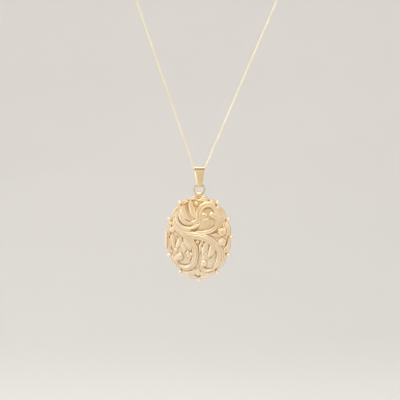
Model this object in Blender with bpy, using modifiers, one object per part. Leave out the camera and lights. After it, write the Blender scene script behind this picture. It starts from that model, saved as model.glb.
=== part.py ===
# An oval gold locket hanging from a fine chain: a back case and a domed cover on a knuckle hinge,
# two framed picture places inside, and a loop, jump ring and tapered bail above.
# Metres, +Z up, front towards -Y. The origin is the chain's centre where the bail hangs on it.

import math

import bmesh
import bpy
from mathutils import Matrix, Vector

MM = 0.001
GAP = 0.05 * MM  # clearance between pieces that touch on the bench

# The hanging line, from the chain down to the case.
CHAIN_RADIUS = 0.35 * MM
BAIL_TOP_RADIUS = 0.9 * MM  # inside of the fold that the chain runs through
BAIL_TOP_Z = -0.5 * MM
BAIL_BOTTOM_RADIUS = 0.66 * MM  # inside of the fold that holds the jump ring
BAIL_BOTTOM_Z = -5.1 * MM
BAIL_THICKNESS = 0.4 * MM
BAIL_TOP_HALF_WIDTH = 1.62 * MM
BAIL_BOTTOM_HALF_WIDTH = 0.84 * MM
RING_X = -0.08 * MM
RING_RADIUS = 1.7 * MM  # to the middle of the wire
RING_WIRE = 0.32 * MM
LOOP_X = -0.2 * MM
LOOP_Z = BAIL_BOTTOM_Z - 2 * RING_RADIUS
LOOP_BORE = 0.65 * MM
LOOP_RADIUS = 0.95 * MM
LOOP_WIDTH = 1.45 * MM

# The case: ovals about its centre. Every oval is taller than wide by the same amount.
CASE_X = -0.2 * MM
CASE_Z = -22.6 * MM
OVAL_EXTRA = 3.2 * MM  # half height less half width
CASE_HALF_WIDTH = 10.1 * MM
CASE_WALL = 0.45 * MM
BACK_DEPTH = 2.2 * MM
BACK_FLAT = 6.0 * MM  # half width of the flat on the back
RIM_DEPTH = 0.6 * MM
OVAL_STEPS = 72

# The cover's scalloped border, with a bead in each dip between two scallops.
BORDER_DIP = 10.25 * MM
BORDER_CREST = 10.75 * MM
SCALLOP_ENDS = (0, 20, 35, 65, 90, 115, 145, 180)  # degrees from the top, and mirrored
BEAD_ANGLES = (35, 65, 90, 115, 145, 180, 215, 245, 295, 325)
BEAD_HALF_WIDTH = 10.9 * MM
BEAD_RADIUS = 0.62 * MM
BEAD_Y = -1.3 * MM

# The hinge, a row of knuckles on a pin along the case's left edge.
HINGE_X = CASE_X - 10.65 * MM
HINGE_Z = CASE_Z - 0.9 * MM
KNUCKLE_RADIUS = 0.5 * MM
KNUCKLE_BORE = 0.25 * MM
KNUCKLE_LENGTH = 1.1 * MM
PIN_RADIUS = 0.2 * MM

# The chain's two straight legs and the fittings at their ends.
LEFT_END = Vector((-22.1, 0, 59.0)) * MM
RIGHT_END = Vector((27.1, 0, 59.0)) * MM
LINK_RADIUS = 1.0 * MM
LINK_WIRE = 0.25 * MM
CLASP_RADIUS = 2.3 * MM  # the bolt ring's middle line
CLASP_TUBE = 0.62 * MM
CLASP_BORE = 0.42 * MM
BOLT_RADIUS = 0.34 * MM
BOLT_GAP = (28, 72)  # degrees round the bolt ring from its loop, where it opens
END_RING_RADIUS = 1.9 * MM
END_RING_WIRE = 0.35 * MM


def clear_scene():
    for obj in list(bpy.data.objects):
        bpy.data.objects.remove(obj, do_unlink=True)


def make_collection(name, hidden=False):
    collection = bpy.data.collections.new(name)
    bpy.context.scene.collection.children.link(collection)
    collection.hide_render = hidden
    return collection


def make_material(name, color, metallic, roughness, alpha=1.0):
    material = bpy.data.materials.new(name)
    material.use_nodes = True
    shader = material.node_tree.nodes["Principled BSDF"]
    shader.inputs["Base Color"].default_value = (*color, 1)
    shader.inputs["Metallic"].default_value = metallic
    shader.inputs["Roughness"].default_value = roughness
    shader.inputs["Alpha"].default_value = alpha
    material.diffuse_color = (*color, alpha)
    return material


clear_scene()
parts = make_collection("oval_locket")
cutters = make_collection("cutters", hidden=True)
satin_gold = make_material("satin_gold", (0.80, 0.62, 0.34), 1, 0.38)
bright_gold = make_material("bright_gold", (0.86, 0.69, 0.40), 1, 0.22)
spring_steel = make_material("spring_steel", (0.60, 0.60, 0.60), 1, 0.3)
acetate = make_material("clear_acetate", (0.95, 0.95, 0.93), 0, 0.1, alpha=0.25)
card_paper = make_material("card_paper", (0.90, 0.88, 0.82), 0, 0.8)


def new_part(name, bm, material, location=(0, 0, 0)):
    """The bmesh as a smooth-shaded part, with its origin at the given place."""
    bmesh.ops.recalc_face_normals(bm, faces=bm.faces)
    mesh = bpy.data.meshes.new(name)
    bm.to_mesh(mesh)
    bm.free()
    mesh.shade_smooth()
    mesh.set_sharp_from_angle(angle=math.radians(35))
    mesh.materials.append(material)
    obj = bpy.data.objects.new(name, mesh)
    obj.location = location
    parts.objects.link(obj)
    return obj


def new_cutter(name, bm, location=(0, 0, 0)):
    obj = new_part(name, bm, satin_gold, location)
    parts.objects.unlink(obj)
    cutters.objects.link(obj)
    obj.hide_render = True
    obj.display_type = "WIRE"
    return obj


def boolean(obj, other, operation="DIFFERENCE"):
    modifier = obj.modifiers.new(other.name, "BOOLEAN")
    modifier.operation = operation
    modifier.solver = "EXACT"
    modifier.object = other


def scallop(angle):
    """How far out the border stands at this angle from the top: 0 in a dip, 1 on a crest."""
    degrees = math.degrees(angle) % 360
    degrees = min(degrees, 360 - degrees)
    for start, end in zip(SCALLOP_ENDS, SCALLOP_ENDS[1:]):
        if start <= degrees <= end:
            return math.sin(math.pi * (degrees - start) / (end - start)) ** 0.7
    return 0


def on_oval(half_width, angle, y=0.0):
    """A point of the oval that is this wide, at an angle from the top, about the case's centre."""
    return Vector((half_width * math.sin(angle), y, (half_width + OVAL_EXTRA) * math.cos(angle)))


def oval_turning(profile, closed=False, scallops=False):
    """Carries a profile of (half width, y) points round the oval; an open one gets a flat face at each end."""
    bm = bmesh.new()
    points = [bm.verts.new((half_width, y, 0)) for half_width, y in profile]
    for first, second in zip(points, points[1:]):
        bm.edges.new((first, second))
    if closed:
        bm.edges.new((points[-1], points[0]))
    bmesh.ops.spin(
        bm, geom=bm.verts[:] + bm.edges[:], cent=(0, 0, 0), axis=(0, 1, 0),
        angle=2 * math.pi, steps=OVAL_STEPS, use_merge=True,
    )
    bmesh.ops.remove_doubles(bm, verts=bm.verts, dist=0.001 * MM)
    if not closed:
        bmesh.ops.holes_fill(bm, edges=[edge for edge in bm.edges if edge.is_boundary])
    for vert in bm.verts:
        half_width = math.hypot(vert.co.x, vert.co.z)
        angle = math.atan2(vert.co.x, vert.co.z)
        if scallops and half_width > CASE_HALF_WIDTH:
            half_width -= (BORDER_CREST - BORDER_DIP) * (1 - scallop(angle))
        vert.co = on_oval(half_width, angle, vert.co.y)
    return bm


def arc_profile(outer, inner, y_outer, y_inner, steps):
    """A quarter of an ellipse from (outer, y_outer) in to (inner, y_inner)."""
    points = []
    for i in range(steps + 1):
        turn = math.pi / 2 * i / steps
        half_width = inner + (outer - inner) * math.cos(turn)
        points.append((half_width, y_outer + (y_inner - y_outer) * math.sin(turn)))
    return points


def box(size, center=(0, 0, 0)):
    bm = bmesh.new()
    bmesh.ops.create_cube(bm, size=1, matrix=Matrix.Translation(center) @ Matrix.Diagonal((*size, 1)))
    return bm


def rod(radius, length, axis="Z", sides=24, center=(0, 0, 0)):
    turn = {"X": Matrix.Rotation(math.pi / 2, 4, "Y"), "Y": Matrix.Rotation(math.pi / 2, 4, "X")}
    bm = bmesh.new()
    bmesh.ops.create_cone(
        bm, cap_ends=True, segments=sides, radius1=radius, radius2=radius, depth=length,
        matrix=Matrix.Translation(center) @ turn.get(axis, Matrix()),
    )
    return bm


def wire_arc(ring_radius, wire_radius, start, end, steps, sides=12):
    """A round wire bent to an arc about +Y, from start to end in radians from +Z towards +X."""
    full = abs(end - start) > 2 * math.pi - 0.001
    bm = bmesh.new()
    bmesh.ops.create_circle(
        bm, cap_ends=not full, segments=sides, radius=wire_radius,
        matrix=Matrix.Rotation(start, 4, "Y") @ Matrix.Translation((0, 0, ring_radius))
        @ Matrix.Rotation(math.pi / 2, 4, "Y"),
    )
    bmesh.ops.spin(
        bm, geom=bm.verts[:] + bm.edges[:] + bm.faces[:], cent=(0, 0, 0), axis=(0, 1, 0),
        angle=end - start, steps=steps, use_merge=full,
    )
    bmesh.ops.remove_doubles(bm, verts=bm.verts, dist=0.001 * MM)
    if not full:
        bmesh.ops.holes_fill(bm, edges=[edge for edge in bm.edges if edge.is_boundary])
    return bm


def tube_along(name, points, radius, material, sides_resolution=2):
    """A round tube through the points, as a curve object with filled ends."""
    curve = bpy.data.curves.new(name, "CURVE")
    curve.dimensions = "3D"
    curve.bevel_depth = radius
    curve.bevel_resolution = sides_resolution
    curve.use_fill_caps = True
    spline = curve.splines.new("POLY")
    spline.points.add(len(points) - 1)
    for place, point in zip(spline.points, points):
        place.co = (*point, 1)
    curve.materials.append(material)
    obj = bpy.data.objects.new(name, curve)
    parts.objects.link(obj)
    return obj


def through(points, count):
    """Evenly spaced points on a smooth curve through the given ones."""
    ends = [2 * points[0] - points[1]] + points + [2 * points[-1] - points[-2]]
    fine = []
    for before, a, b, after in zip(ends, ends[1:], ends[2:], ends[3:]):
        for i in range(20):
            t = i / 20
            fine.append(
                0.5 * (2 * a + (b - before) * t + (2 * before - 5 * a + 4 * b - after) * t * t
                       + (3 * a - before - 3 * b + after) * t ** 3)
            )
    fine.append(points[-1])
    lengths = [0.0]
    for a, b in zip(fine, fine[1:]):
        lengths.append(lengths[-1] + (b - a).length)
    spaced = []
    index = 0
    for i in range(count):
        wanted = lengths[-1] * i / (count - 1)
        while index < len(fine) - 2 and lengths[index + 1] < wanted:
            index += 1
        part = (wanted - lengths[index]) / (lengths[index + 1] - lengths[index])
        spaced.append(fine[index].lerp(fine[index + 1], part))
    return spaced


def make_back():
    inner = CASE_HALF_WIDTH - CASE_WALL
    outside = arc_profile(CASE_HALF_WIDTH, BACK_FLAT, RIM_DEPTH, BACK_DEPTH, 5)
    inside = arc_profile(inner, BACK_FLAT - 0.2 * MM, RIM_DEPTH, BACK_DEPTH - CASE_WALL, 4)
    lip = [(CASE_HALF_WIDTH, 0.04 * MM), (inner, 0.04 * MM)]
    profile = outside[::-1] + lip + inside
    new_part("back_shell", oval_turning(profile), satin_gold, (CASE_X, 0, CASE_Z))


def make_band(name, outer, inner, y_front, y_back, material=bright_gold):
    profile = [(outer, y_front), (outer, y_back), (inner, y_back), (inner, y_front)]
    return new_part(name, oval_turning(profile, closed=True), material, (CASE_X, 0, CASE_Z))


def make_disc(name, half_width, y_front, y_back, material):
    bm = oval_turning([(half_width, y_front), (half_width, y_back)])
    return new_part(name, bm, material, (CASE_X, 0, CASE_Z))


def make_cover():
    crest = BORDER_CREST
    dome = arc_profile(9.35 * MM, 3.0 * MM, -1.55 * MM, -3.2 * MM, 5)[::-1]
    border = [
        (9.6 * MM, -1.5 * MM), (10.35 * MM, -1.68 * MM), (crest, -1.5 * MM), (crest, -1.25 * MM),
        (10.45 * MM, -1.1 * MM), (9.75 * MM, -1.1 * MM),
    ]
    inside = arc_profile(9.2 * MM, 2.9 * MM, -1.2 * MM, -2.75 * MM, 5)
    bm = oval_turning(dome + border + inside, scallops=True)
    cover = new_part("front_cover", bm, satin_gold, (HINGE_X, 0, CASE_Z))
    cover.data.transform(Matrix.Translation((CASE_X - HINGE_X, 0, 0)))
    for number, degrees in enumerate(BEAD_ANGLES, start=1):
        place = on_oval(BEAD_HALF_WIDTH, math.radians(degrees), BEAD_Y) + Vector((CASE_X, 0, CASE_Z))
        seat = bmesh.new()
        bmesh.ops.create_uvsphere(seat, u_segments=12, v_segments=8, radius=BEAD_RADIUS + GAP)
        boolean(cover, new_cutter(f"bead_seat_{number}", seat, place))
        bead = bmesh.new()
        bmesh.ops.create_uvsphere(bead, u_segments=14, v_segments=9, radius=BEAD_RADIUS)
        new_part(f"rim_bead_{number}", bead, bright_gold, place)
    room = box((2 * MM, 4 * MM, 6.4 * MM), (CASE_X - BORDER_DIP - 1 * MM, -1 * MM, HINGE_Z))
    boolean(cover, new_cutter("hinge_room", room))


def make_catch():
    """A lug on the back's bearer, in a notch of the cover's bezel that is open towards the back."""
    bezel = make_band("cover_bezel", CASE_HALF_WIDTH, 9.7 * MM, -1.04 * MM, -0.04 * MM)
    notch = box((1 * MM, 0.9 * MM, 1.2 * MM), (CASE_X + 9.9 * MM, -0.05 * MM, CASE_Z))
    boolean(bezel, new_cutter("catch_notch", notch))
    make_band("back_bearer", 9.58 * MM, 9.2 * MM, -0.5 * MM, 0.65 * MM)
    lug = box((0.24 * MM, 0.28 * MM, 0.8 * MM), (CASE_X + 9.78 * MM, -0.28 * MM, CASE_Z))
    lug = new_part("catch_lug", lug, bright_gold)
    edges = lug.modifiers.new("edges", "BEVEL")
    edges.width = 0.06 * MM
    edges.segments = 2


def make_picture_places():
    places = (("back", 1, 9.1 * MM, 0.1 * MM, 8.5 * MM), ("cover", -1, 9.5 * MM, 0.6 * MM, 8.2 * MM))
    for side, way, frame, start, card in places:
        make_band(f"{side}_picture_frame", frame, 7.9 * MM, way * start, way * (start + 0.42 * MM))
        glass = start + 0.5 * MM
        make_disc(f"{side}_window", 8.6 * MM, way * glass, way * (glass + 0.18 * MM), acetate)
        back = glass + 0.25 * MM
        make_disc(f"{side}_card", card, way * back, way * (back + 0.25 * MM), card_paper)


def make_hinge():
    pitch = KNUCKLE_LENGTH + 0.06 * MM
    for index in range(5):
        side = "cover" if index % 2 else "back"
        knuckle = rod(KNUCKLE_RADIUS, KNUCKLE_LENGTH)
        place = (HINGE_X, 0, HINGE_Z + (2 - index) * pitch)
        knuckle = new_part(f"{side}_knuckle_{index // 2 + 1}", knuckle, bright_gold, place)
        bore = new_cutter(f"knuckle_bore_{index}", rod(KNUCKLE_BORE, 2 * KNUCKLE_LENGTH), place)
        boolean(knuckle, bore)
    pin = rod(PIN_RADIUS, 5 * pitch)
    new_part("hinge_pin", pin, bright_gold, (HINGE_X, 0, HINGE_Z))


def make_loop():
    place = (LOOP_X, 0, LOOP_Z)
    loop = new_part("pendant_loop", rod(LOOP_RADIUS, LOOP_WIDTH, "X", 32), bright_gold, place)
    foot_height = LOOP_Z - (CASE_Z + CASE_HALF_WIDTH + OVAL_EXTRA)
    foot_size = (LOOP_WIDTH - 0.12 * MM, 1.1 * MM, foot_height)
    foot = box(foot_size, (0, 0.3 * MM, -foot_height / 2 - 0.2 * MM))
    boolean(loop, new_cutter("loop_foot", foot, place), "UNION")
    boolean(loop, new_cutter("loop_bore", rod(LOOP_BORE, 4 * MM, "X", 32), place))
    around = CASE_HALF_WIDTH + GAP
    case = oval_turning([(around, -3 * MM), (around, 3 * MM)])
    boolean(loop, new_cutter("case_outline", case, (CASE_X, 0, CASE_Z)))


def make_jump_ring():
    bm = wire_arc(RING_RADIUS, RING_WIRE, 0, 2 * math.pi, 32)
    bmesh.ops.translate(bm, verts=bm.verts, vec=(0, 0, -RING_RADIUS))
    new_part("jump_ring", bm, bright_gold, (RING_X, 0, BAIL_BOTTOM_Z))


def bail_line():
    """The middle line of the folded strip, as (y, z) points round the loop."""
    top = BAIL_TOP_RADIUS + BAIL_THICKNESS / 2
    bottom = BAIL_BOTTOM_RADIUS + BAIL_THICKNESS / 2
    lean = math.asin((top - bottom) / (BAIL_TOP_Z - BAIL_BOTTOM_Z))
    points = []
    for i in range(17):
        turn = -(math.pi / 2 + lean) + (math.pi + 2 * lean) * i / 16
        points.append((top * math.sin(turn), BAIL_TOP_Z + top * math.cos(turn)))
    for i in range(13):
        turn = math.pi / 2 + lean + (math.pi - 2 * lean) * i / 12
        points.append((bottom * math.sin(turn), BAIL_BOTTOM_Z + bottom * math.cos(turn)))
    return points


def bail_half_width(z):
    along = (BAIL_TOP_Z - z) / (BAIL_TOP_Z - BAIL_BOTTOM_Z + BAIL_BOTTOM_RADIUS)
    return BAIL_TOP_HALF_WIDTH + (BAIL_BOTTOM_HALF_WIDTH - BAIL_TOP_HALF_WIDTH) * min(1, max(0, along))


def make_bail():
    line = bail_line()
    bm = bmesh.new()
    bmesh.ops.create_cone(
        bm, cap_ends=False, segments=len(line), radius1=1, radius2=1, depth=2,
        matrix=Matrix.Rotation(math.pi / 2, 4, "Y"),
    )
    for vert in bm.verts:
        turn = math.atan2(vert.co.y, vert.co.z) / (2 * math.pi)
        y, z = line[round(turn * len(line)) % len(line)]
        vert.co = (math.copysign(bail_half_width(z), vert.co.x), y, z)
    bail = new_part("bail", bm, bright_gold, (0, 0, BAIL_TOP_Z))
    bail.data.transform(Matrix.Translation((0, 0, -BAIL_TOP_Z)))
    wall = bail.modifiers.new("wall", "SOLIDIFY")
    wall.thickness = BAIL_THICKNESS
    wall.offset = 0
    wall.use_even_offset = True
    edges = bail.modifiers.new("edges", "BEVEL")
    edges.width = 0.07 * MM
    edges.segments = 2
    edges.angle_limit = math.radians(40)


def chain_bend():
    """The chain's bend through the bail: flat under the fold, then up past its edges into the legs."""
    side = ((0.8, 0), (1.6, 0), (1.94, 0.14), (2.05, 0.45), (2.12, 0.9), (3.0, 2.9))
    right = [Vector((x, 0, z)) * MM for x, z in side]
    left = [Vector((-x, 0, z)) * MM for x, z in reversed(side)]
    left[0].x = -2.78 * MM
    return through(left + right, 40)


def make_chain():
    bend = chain_bend()
    start = LEFT_END - LEFT_END.normalized() * 2 * GAP
    end = RIGHT_END - RIGHT_END.normalized() * 2 * GAP
    left_leg = [start.lerp(bend[0], i / 8) for i in range(8)]
    right_leg = [bend[-1].lerp(end, i / 8) for i in range(1, 9)]
    tube_along("chain", left_leg + bend + right_leg, CHAIN_RADIUS, bright_gold)


def make_clasp():
    """A bolt ring: a C-shaped tube, a sprung bolt that closes its gap, and a loop to the chain."""
    outward = LEFT_END.normalized()
    tilt = math.atan2(-outward.x, -outward.z)
    link_center = LEFT_END + outward * (LINK_RADIUS + LINK_WIRE)
    link = wire_arc(LINK_RADIUS, LINK_WIRE, 0, 2 * math.pi, 24, 8)
    new_part("clasp_link", link, bright_gold, link_center)
    loop_reach = 2 * LINK_RADIUS - 0.25 * MM
    center = link_center + outward * (loop_reach + 0.75 * MM + CLASP_RADIUS)
    gap_start, gap_end = (tilt + math.radians(degrees) for degrees in BOLT_GAP)
    bore_end = tilt + math.radians(250)
    case_end = gap_start + 2 * math.pi
    case = wire_arc(CLASP_RADIUS, CLASP_TUBE, gap_end, case_end, 32, 12)
    case = new_part("clasp_case", case, bright_gold, center)
    bore = wire_arc(CLASP_RADIUS, CLASP_BORE, gap_end - 0.1, bore_end, 19)
    boolean(case, new_cutter("clasp_bore", bore, center))
    slot_start, slot_end = tilt + math.radians(95), tilt + math.radians(153)
    slot = wire_arc(CLASP_RADIUS + CLASP_TUBE, 0.24 * MM, slot_start, slot_end, 6, 8)
    boolean(case, new_cutter("clasp_slot", slot, center))
    loop = wire_arc(0.8 * MM, 0.22 * MM, 0, 2 * math.pi, 20, 8)
    bmesh.ops.rotate(loop, verts=loop.verts, matrix=Matrix.Rotation(math.pi / 2, 3, "Z"))
    bmesh.ops.rotate(loop, verts=loop.verts, matrix=Matrix.Rotation(tilt, 3, "Y"))
    loop_center = center - outward * (CLASP_RADIUS + CLASP_TUBE + 0.85 * MM)
    boolean(case, new_cutter("clasp_loop", loop, loop_center), "UNION")
    bolt = wire_arc(CLASP_RADIUS, BOLT_RADIUS, gap_start + 0.03, tilt + math.radians(140), 14)
    bolt = new_part("clasp_bolt", bolt, bright_gold, center)
    knob_turn = Matrix.Rotation(tilt + math.radians(104), 4, "Y")
    knob = rod(0.16 * MM, 0.9 * MM, "Z", 10, (0, 0, CLASP_RADIUS + 0.55 * MM))
    bmesh.ops.transform(knob, verts=knob.verts, matrix=knob_turn)
    boolean(bolt, new_cutter("bolt_knob", knob, center), "UNION")
    coil = []
    for i in range(49):
        around = math.radians(143 + 84 * i / 48) + tilt
        wind = 2 * math.pi * 6 * i / 48
        reach = CLASP_RADIUS + 0.26 * MM * math.cos(wind)
        spot = Vector((reach * math.sin(around), 0.26 * MM * math.sin(wind), reach * math.cos(around)))
        coil.append(center + spot)
    tube_along("clasp_spring", coil, 0.07 * MM, spring_steel, 1)


def make_end_ring():
    outward = RIGHT_END.normalized()
    ring = wire_arc(END_RING_RADIUS, END_RING_WIRE, 0, 2 * math.pi, 30, 10)
    new_part("end_ring", ring, bright_gold, RIGHT_END + outward * (END_RING_RADIUS + END_RING_WIRE))


make_back()
make_cover()
make_catch()
make_picture_places()
make_hinge()
make_loop()
make_jump_ring()
make_bail()
make_chain()
make_clasp()
make_end_ring()
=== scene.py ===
import math

import bmesh
import bpy
import numpy as np
from mathutils import Matrix, Vector


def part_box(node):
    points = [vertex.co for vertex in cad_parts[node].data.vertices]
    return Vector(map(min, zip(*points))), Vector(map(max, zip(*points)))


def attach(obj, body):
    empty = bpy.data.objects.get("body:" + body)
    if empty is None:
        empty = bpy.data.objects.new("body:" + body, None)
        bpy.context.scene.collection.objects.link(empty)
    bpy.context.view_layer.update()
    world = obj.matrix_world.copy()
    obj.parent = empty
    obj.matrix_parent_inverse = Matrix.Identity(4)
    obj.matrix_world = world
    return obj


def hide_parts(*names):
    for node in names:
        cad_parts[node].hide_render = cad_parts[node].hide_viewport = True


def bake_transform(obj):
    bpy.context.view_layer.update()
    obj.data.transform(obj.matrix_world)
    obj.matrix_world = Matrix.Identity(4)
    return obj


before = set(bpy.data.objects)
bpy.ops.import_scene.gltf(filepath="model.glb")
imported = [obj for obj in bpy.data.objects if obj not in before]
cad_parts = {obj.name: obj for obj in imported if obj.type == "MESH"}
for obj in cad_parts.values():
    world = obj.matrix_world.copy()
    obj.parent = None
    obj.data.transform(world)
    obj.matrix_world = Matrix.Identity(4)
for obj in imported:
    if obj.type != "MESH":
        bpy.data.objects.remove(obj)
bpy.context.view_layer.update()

mm = 0.001
fullTurn = 2 * math.pi
scene = bpy.context.scene
print("frame loaded:", len(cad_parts), "nodes")

# where things are, read off the frame
caseLow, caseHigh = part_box("back_shell")
caseMiddle = (caseLow + caseHigh) / 2
caseMiddle.y = 0.0
caseHalfWidth = (caseHigh.x - caseLow.x) / 2
ovalExtra = (caseHigh.z - caseLow.z) / 2 - caseHalfWidth  # half height less half width


def middleOf(node):
    low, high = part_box(node)
    return (low + high) / 2


# ---- tools for shapes

def finishPiece(name, bm, material, body, stands=(), smooth=35, recalc=True):
    if recalc:
        bmesh.ops.recalc_face_normals(bm, faces=bm.faces)
    mesh = bpy.data.meshes.new(name)
    bm.to_mesh(mesh)
    bm.free()
    mesh.shade_smooth()
    mesh.set_sharp_from_angle(angle=math.radians(smooth))
    mesh.materials.append(material)
    piece = bpy.data.objects.new(name, mesh)
    scene.collection.objects.link(piece)
    if body:
        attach(piece, body)
    if stands:
        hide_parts(*stands)
    return piece


def onOval(halfWidth, angle, y=0.0):
    # every oval of the case is taller than wide by the same amount; the angle runs from the top
    x = halfWidth * math.sin(angle)
    z = (halfWidth + ovalExtra) * math.cos(angle)
    return caseMiddle + Vector((x, y, z))


def turnedOval(profile, closed=False, filled=False, steps=200):
    # a profile of (half width, y) in mm, carried round the oval about the case's middle
    bm = bmesh.new()
    dots = [bm.verts.new((width * mm, y * mm, 0)) for width, y in profile]
    for first, second in zip(dots, dots[1:]):
        bm.edges.new((first, second))
    if closed:
        bm.edges.new((dots[-1], dots[0]))
    bmesh.ops.spin(
        bm, geom=bm.verts[:] + bm.edges[:], cent=(0, 0, 0), axis=(0, 1, 0),
        angle=fullTurn, steps=steps, use_merge=True,
    )
    bmesh.ops.remove_doubles(bm, verts=bm.verts, dist=0.0005 * mm)
    if filled:
        bmesh.ops.holes_fill(bm, edges=[edge for edge in bm.edges if edge.is_boundary])
    for vert in bm.verts:
        width = math.hypot(vert.co.x, vert.co.z)
        vert.co = onOval(width, math.atan2(vert.co.x, vert.co.z), vert.co.y)
    return bm


def softenEdges(bm, width, segments=2, above=40):
    bmesh.ops.recalc_face_normals(bm, faces=bm.faces)
    sharp = [e for e in bm.edges if e.is_manifold and math.degrees(e.calc_face_angle(0)) > above]
    bmesh.ops.bevel(
        bm, geom=sharp, offset=width * mm, offset_type="OFFSET", segments=segments,
        profile=0.5, affect="EDGES", material=-1, clamp_overlap=True,
    )
    return bm


def wireRing(ringRadius, wireRadius, steps=96, sides=20, start=0.0, end=fullTurn, flat=1.0):
    # a round wire bent about +Y, in mm; angles run from +Z towards +X
    whole = abs(end - start) > fullTurn - 0.001
    bm = bmesh.new()
    bmesh.ops.create_circle(
        bm, cap_ends=not whole, segments=sides, radius=wireRadius * mm,
        matrix=Matrix.Rotation(start, 4, "Y") @ Matrix.Translation((0, 0, ringRadius * mm))
        @ Matrix.Rotation(math.pi / 2, 4, "Y"),
    )
    bmesh.ops.spin(
        bm, geom=bm.verts[:] + bm.edges[:] + bm.faces[:], cent=(0, 0, 0), axis=(0, 1, 0),
        angle=end - start, steps=steps, use_merge=whole,
    )
    bmesh.ops.remove_doubles(bm, verts=bm.verts, dist=0.0005 * mm)
    if not whole:
        bmesh.ops.holes_fill(bm, edges=[edge for edge in bm.edges if edge.is_boundary])
    if flat != 1.0:
        bmesh.ops.scale(bm, verts=bm.verts, vec=(1, flat, 1))
    return bm


def wrappedGrid(place, along, around):
    # a grid whose (u, v) from 0 to 1 is put on a shape; edges that meet are welded
    bm = bmesh.new()
    bmesh.ops.create_grid(bm, x_segments=along, y_segments=around, size=1)
    for vert in bm.verts:
        vert.co = place((vert.co.x + 1) / 2, (vert.co.y + 1) / 2)
    bmesh.ops.remove_doubles(bm, verts=bm.verts, dist=0.0005 * mm)
    return bm


# ---- tools for materials

def linearColor(hexText):
    channels = [int(hexText[i:i + 2], 16) / 255 for i in (1, 3, 5)]
    return tuple(c / 12.92 if c <= 0.04045 else ((c + 0.055) / 1.055) ** 2.4 for c in channels) + (1.0,)


def addNode(tree, kind, settings=None, links=None):
    # settings go to a socket of that name or number where there is one, and to the node otherwise
    node = tree.nodes.new(kind)
    for name, value in (settings or {}).items():
        if isinstance(name, int) or name in node.inputs:
            node.inputs[name].default_value = value
        else:
            setattr(node, name, value)
    for name, source in (links or {}).items():
        tree.links.new(source, node.inputs[name])
    return node


def newMaterial(name):
    material = bpy.data.materials.new(name)
    material.use_nodes = True
    tree = material.node_tree
    return material, tree, tree.nodes["Principled BSDF"]


def goldFinish(name, look):
    # 9 ct yellow gold; the finish is the way its surface was left: polished, satin or drawn
    material, tree, shader = newMaterial(name)
    place = addNode(tree, "ShaderNodeTexCoord").outputs["Object"]
    shader.inputs["Metallic"].default_value = 1.0
    grain = addNode(tree, "ShaderNodeTexNoise", {"Scale": 1 / (look["grain"] * mm), "Detail": 4.0}, {"Vector": place})
    cloud = addNode(tree, "ShaderNodeTexNoise", {"Scale": 1 / (look["cloud"] * mm), "Detail": 2.0}, {"Vector": place})
    tone = addNode(tree, "ShaderNodeValToRGB", links={"Fac": cloud.outputs["Fac"]})
    tone.color_ramp.elements[0].position = 0.35
    tone.color_ramp.elements[0].color = linearColor(look["deep"])
    tone.color_ramp.elements[1].position = 0.68
    tone.color_ramp.elements[1].color = linearColor(look["pale"])
    color = tone.outputs["Color"]
    rough = addNode(
        tree, "ShaderNodeMapRange",
        {1: 0.3, 2: 0.7, 3: look["roughness"][0], 4: look["roughness"][1]}, {"Value": grain.outputs["Fac"]},
    ).outputs["Result"]
    if look.get("paintedLightTone"):
        # painted light: the lower half is painted a little paler, standing in for brighter light falling on it
        height = addNode(tree, "ShaderNodeSeparateXYZ", links={"Vector": place}).outputs["Z"]
        top, bottom = look["paintedLightFrom"]
        share = addNode(
            tree, "ShaderNodeMapRange", {1: top * mm, 2: bottom * mm, 3: 0.0, 4: 0.85}, {"Value": height}
        ).outputs["Result"]
        color = addNode(
            tree, "ShaderNodeMix", {"data_type": "RGBA", 7: linearColor(look["paintedLightTone"])}, {0: share, 6: color}
        ).outputs[2]
    # painted shade: the colour is darkened towards the dark tone, and made rougher, where the vertex attribute marks
    # hollows, cuts and lines
    if look.get("recess"):
        depth = addNode(tree, "ShaderNodeAttribute", {"attribute_name": "recess"}).outputs["Fac"]
        speck = addNode(
            tree, "ShaderNodeMath", {"operation": "MULTIPLY_ADD", 1: 0.5, 2: -0.25}, {0: grain.outputs["Fac"]}
        ).outputs["Value"]
        patchy = addNode(tree, "ShaderNodeMath", {"operation": "ADD"}, {0: depth, 1: speck}).outputs["Value"]
        shade = addNode(
            tree, "ShaderNodeMapRange",
            {"interpolation_type": "SMOOTHSTEP", 1: 0.42, 2: 0.95, 3: 0.0, 4: look["recess"]}, {"Value": patchy},
        ).outputs["Result"]
        color = addNode(
            tree, "ShaderNodeMix", {"data_type": "RGBA", 7: linearColor(look["dark"])}, {0: shade, 6: color}
        ).outputs[2]
        rough = addNode(
            tree, "ShaderNodeMath", {"operation": "MULTIPLY_ADD", 1: 0.25}, {0: shade, 2: rough}
        ).outputs["Value"]
    tree.links.new(color, shader.inputs["Base Color"])
    tree.links.new(rough, shader.inputs["Roughness"])
    fine = addNode(
        tree, "ShaderNodeBump", {"Strength": look["bump"], "Distance": 0.01 * mm}, {"Height": grain.outputs["Fac"]}
    )
    brushed = addNode(
        tree, "ShaderNodeMapping", {"Scale": look["brush"]}, {"Vector": place}
    ).outputs["Vector"]
    lines = addNode(tree, "ShaderNodeTexNoise", {"Scale": 1.0, "Detail": 3.0}, {"Vector": brushed})
    scratch = addNode(
        tree, "ShaderNodeBump", {"Strength": look["scratch"], "Distance": 0.01 * mm},
        {"Height": lines.outputs["Fac"], "Normal": fine.outputs["Normal"]},
    )
    tree.links.new(scratch.outputs["Normal"], shader.inputs["Normal"])
    return material


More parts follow.
